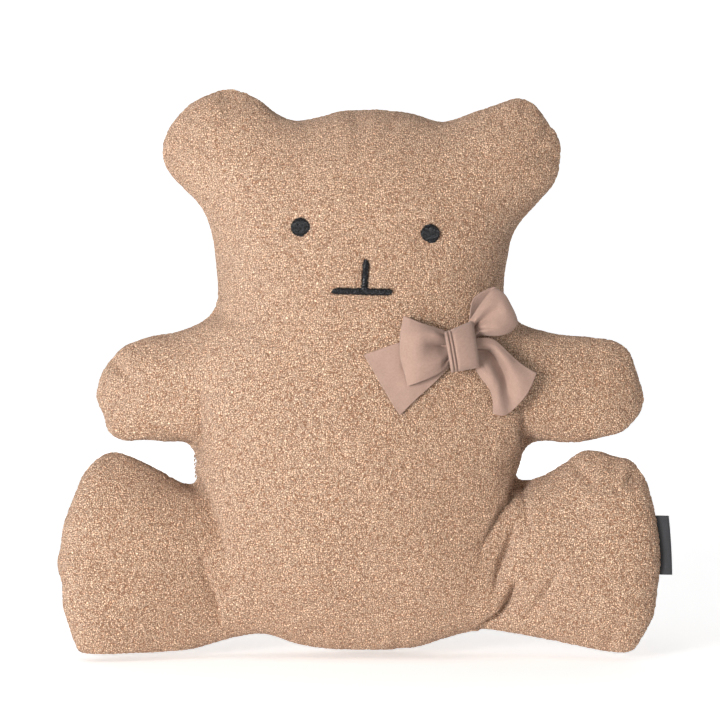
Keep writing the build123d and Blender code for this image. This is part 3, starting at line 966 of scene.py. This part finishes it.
BOW_PLEATS = {
    "bow_loop_right": [
        ((0.06, 0.50), (0.34, 0.56), 5.0), ((0.06, 0.17), (0.20, 0.12), 5.0),
        ((0.06, 0.80), (0.24, 0.84), 3.0),
    ],
    "bow_loop_left": [
        ((0.06, 0.30), (0.34, 0.24), 5.0), ((0.06, 0.58), (0.26, 0.55), 5.0),
        ((0.06, 0.12), (0.2, 0.1), 3.0),
    ],
    "bow_tail_right": [((0.25, 0.55), (0.7, 0.62), 1.8)],
    "bow_tail_left": [((0.06, 0.60), (0.85, 0.52), 4.0), ((0.06, 0.25), (0.4, 0.22), 2.0)],
}
BOW_SIZES = {
    "bow_loop_right": (88, 54), "bow_loop_left": (88, 54),
    "bow_tail_right": (72, 54), "bow_tail_left": (66, 54),
}

# The knot: its profile across as (x, lift), with its pleats, and its way round the bow as (z, out).
KNOT_ACROSS = [
    (-11.5, -1.0), (-10.2, 1.1), (-8.9, -1.5), (-7.6, 0.9), (-6.3, -1.5),
    (-4.6, 0.9), (0, 1.4), (5, 1.1), (9, 0), (11, -2.5),
]
KNOT_AROUND = [
    (-9, 2), (-15.2, 6), (-16.6, 12), (-13.5, 18), (-6, 20.5),
    (2, 21), (10, 20), (16, 15), (16.6, 8), (10, 2),
]


def lay_on_skin(rows, surface, knot):
    """Control points of the bow, set out from the knot's middle in front of the skin and its mean slope."""
    laid = []
    for row in rows:
        at = [((knot.x + x) * NEARER, knot.z + z * NEARER) for x, z, _ in row]
        slope = [knot.y + 9 + 0.2 * x + 0.1 * z for x, z, _ in row]
        skin_y = [surface.depth(*place, 900) - 1.2 for place in at]
        back = [min(a, b) for a, b in zip(slope, skin_y)]
        laid.append([(x, y - out, z) for (x, z), y, (_, _, out) in zip(at, back, row)])
    return laid


def bow(surface, material):
    """The tied bow: knot, two loops and two tails, set out in the bow's leaning plane."""
    low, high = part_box("bow_knot")
    knot = (low + high) / 2 / MM
    pieces = {}
    for node, rows in BOW_ROWS.items():
        pieces[node] = ribbon(
            f"{node}_cotton", lay_on_skin(rows, surface, knot), BOW_SIZES[node],
            0.8 if "loop" in node else 1.2, material, pleats=BOW_PLEATS[node],
        )
    knot_rows = []
    for z, out in KNOT_AROUND:
        tilt, pleated = 0.28 + 0.007 * z, min(1, out / 12)
        knot_rows.append([(x - 0.16 * z, z + tilt * x, out + lift * pleated) for x, lift in KNOT_ACROSS])
    pieces["bow_knot"] = ribbon(
        "bow_knot_cotton", lay_on_skin(knot_rows, surface, knot), (74, 26), 1.0, material,
        crinkle=0.2, detail=(72, 64),
    )

    for node, piece in pieces.items():
        if node == "bow_knot":
            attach(piece, "torso")
        else:
            bend_from_knot(piece)
        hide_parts(node)
    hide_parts("bow_tack")


def label(material):
    """The blank folded tape in the left leg's outer seam, as a loop of rows out from the seam and back."""
    low, high = (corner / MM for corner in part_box("label"))
    lean, in_seam, past_end = 3.0, 12.0, 4.0

    def row(share, gap, bend):
        """A row across the tape at a share of its way out, gap in front of the tape's middle."""
        x = low.x - in_seam + (high.x - low.x + past_end) * share
        y = low.y + 3.6 + (high.y - low.y) * (1 - share) * 0.5
        points = []
        for t in np.linspace(0, 1, 5):
            across = x + lean * (0.5 - t) + bend * math.sin(math.pi * t)
            points.append((across, y - gap + 0.5 * math.sin(5 * t), low.z + (high.z - low.z) * t))
        return points

    way_out = [(0, 0.9, 0), (0.35, 1.0, 0.2), (0.7, 1.1, 0.4), (0.95, 0.9, 0.5)]
    rows = [row(*place) for place in way_out]
    rows.append(row(1.0, 0, 0.5))
    rows += [row(share, -gap, bend) for share, gap, bend in reversed(way_out)]
    piece = ribbon("label_tape", rows, (36, 46), 0.35, material, crinkle=0.12, detail=(60, 40))
    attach(piece, "label_tab")
    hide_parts("label")


def closing(material):
    """The hand-sewn stitches over the side seam below the right arm."""
    lowest, highest, count = 139, 155, 6
    paths = []
    for z in np.linspace(lowest, highest, count):
        x = -133.6 - 0.05 * (z - lowest)
        t = np.linspace(-1, 1, 7)
        paths.append(np.c_[x + 0.9 * t**2, 3.6 * t, z + 0.9 * t])
    piece = strands("closing_stitches_thread", paths, 0.5, material)
    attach(piece, "torso")
    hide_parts("closing_stitches")


def floor():
    """A plain pale floor that sweeps up behind, in metres."""
    profile = [(-6.0, 0.0), (1.2, 0.0), (2.0, 0.06), (2.7, 0.32), (3.2, 0.85), (3.4, 1.6), (3.4, 6.0)]
    half_width, clearance = 9.0, 0.0004
    curve = open_curve(spline_rows(np.array(profile), 60), 0.08)
    vertices = [(x, y, z - clearance) for y, z in curve for x in (-half_width, half_width)]
    faces = [(2 * i, 2 * i + 1, 2 * i + 3, 2 * i + 2) for i in range(len(curve) - 1)]
    piece = mesh_from("floor", vertices, faces)
    m = Nodes("floor")
    speck = m.add("TexNoise", Scale=3, Detail=2).outputs[0]
    colour = m.ramp(speck, [(0.2, (0.88, 0.88, 0.88)), (0.8, (0.91, 0.91, 0.91))])
    piece.data.materials.append(m.finish(
        colour, speck, 0.02, 0.001, Roughness=0.9, Emission_Color=(1, 1, 1, 1), Emission_Strength=0.42,
    ))


def lights():
    """An even studio surround, a soft key from the left and a weak light from above."""
    world = bpy.data.worlds.new("studio")
    bpy.context.scene.world = world
    world.use_nodes = True
    background = world.node_tree.nodes["Background"]
    background.inputs["Color"].default_value = (1, 1, 1, 1)
    background.inputs["Strength"].default_value = 0.34

    target = Vector((0, 0, 0.2))
    for name, place, size, power in (
        ("key", (-1.35, -2.35, 0.32), 0.8, 97),
        ("top", (-0.4, -0.9, 2.2), 1.4, 9),
    ):
        lamp = bpy.data.lights.new(name, "AREA")
        lamp.energy = power
        lamp.size = size
        thing = bpy.data.objects.new(name, lamp)
        thing.location = place
        thing.rotation_euler = (target - Vector(place)).to_track_quat("-Z", "Y").to_euler()
        bpy.context.collection.objects.link(thing)


def camera():
    """The front view: level with the chest, through a long lens. width is what it frames at the bear."""
    distance, elevation, width, sensor = 2.4, math.radians(1.5), 0.576, 36
    aim = Vector((-0.0016, 0, 0.232))
    place = aim + Vector((0, -math.cos(elevation), math.sin(elevation))) * distance
    lens = bpy.data.cameras.new("camera")
    lens.sensor_width = sensor
    lens.lens = sensor * distance / width
    thing = bpy.data.objects.new("camera", lens)
    thing.location = place
    thing.rotation_euler = (aim - place).to_track_quat("-Z", "Y").to_euler()
    bpy.context.collection.objects.link(thing)
    bpy.context.scene.camera = thing


camera()
bpy.context.scene.view_settings.view_transform = "Standard"
boucle = boucle_material()
black_thread = thread_material("embroidery_thread", (0.004, 0.004, 0.005), (0.014, 0.014, 0.016), 0.22)
cotton = cotton_material("bow_cotton", (0.255, 0.160, 0.122), (0.420, 0.280, 0.225))
tan_thread = thread_material("sewing_thread", (0.40, 0.25, 0.16), (0.56, 0.38, 0.26), 0.6)
pieces, skin = skin_pieces(boucle)
place_skin(pieces)
surface = FrontSurface(skin)
face(surface, black_thread)
bow(surface, cotton)
label(satin_material())
closing(tan_thread)
floor()
lights()
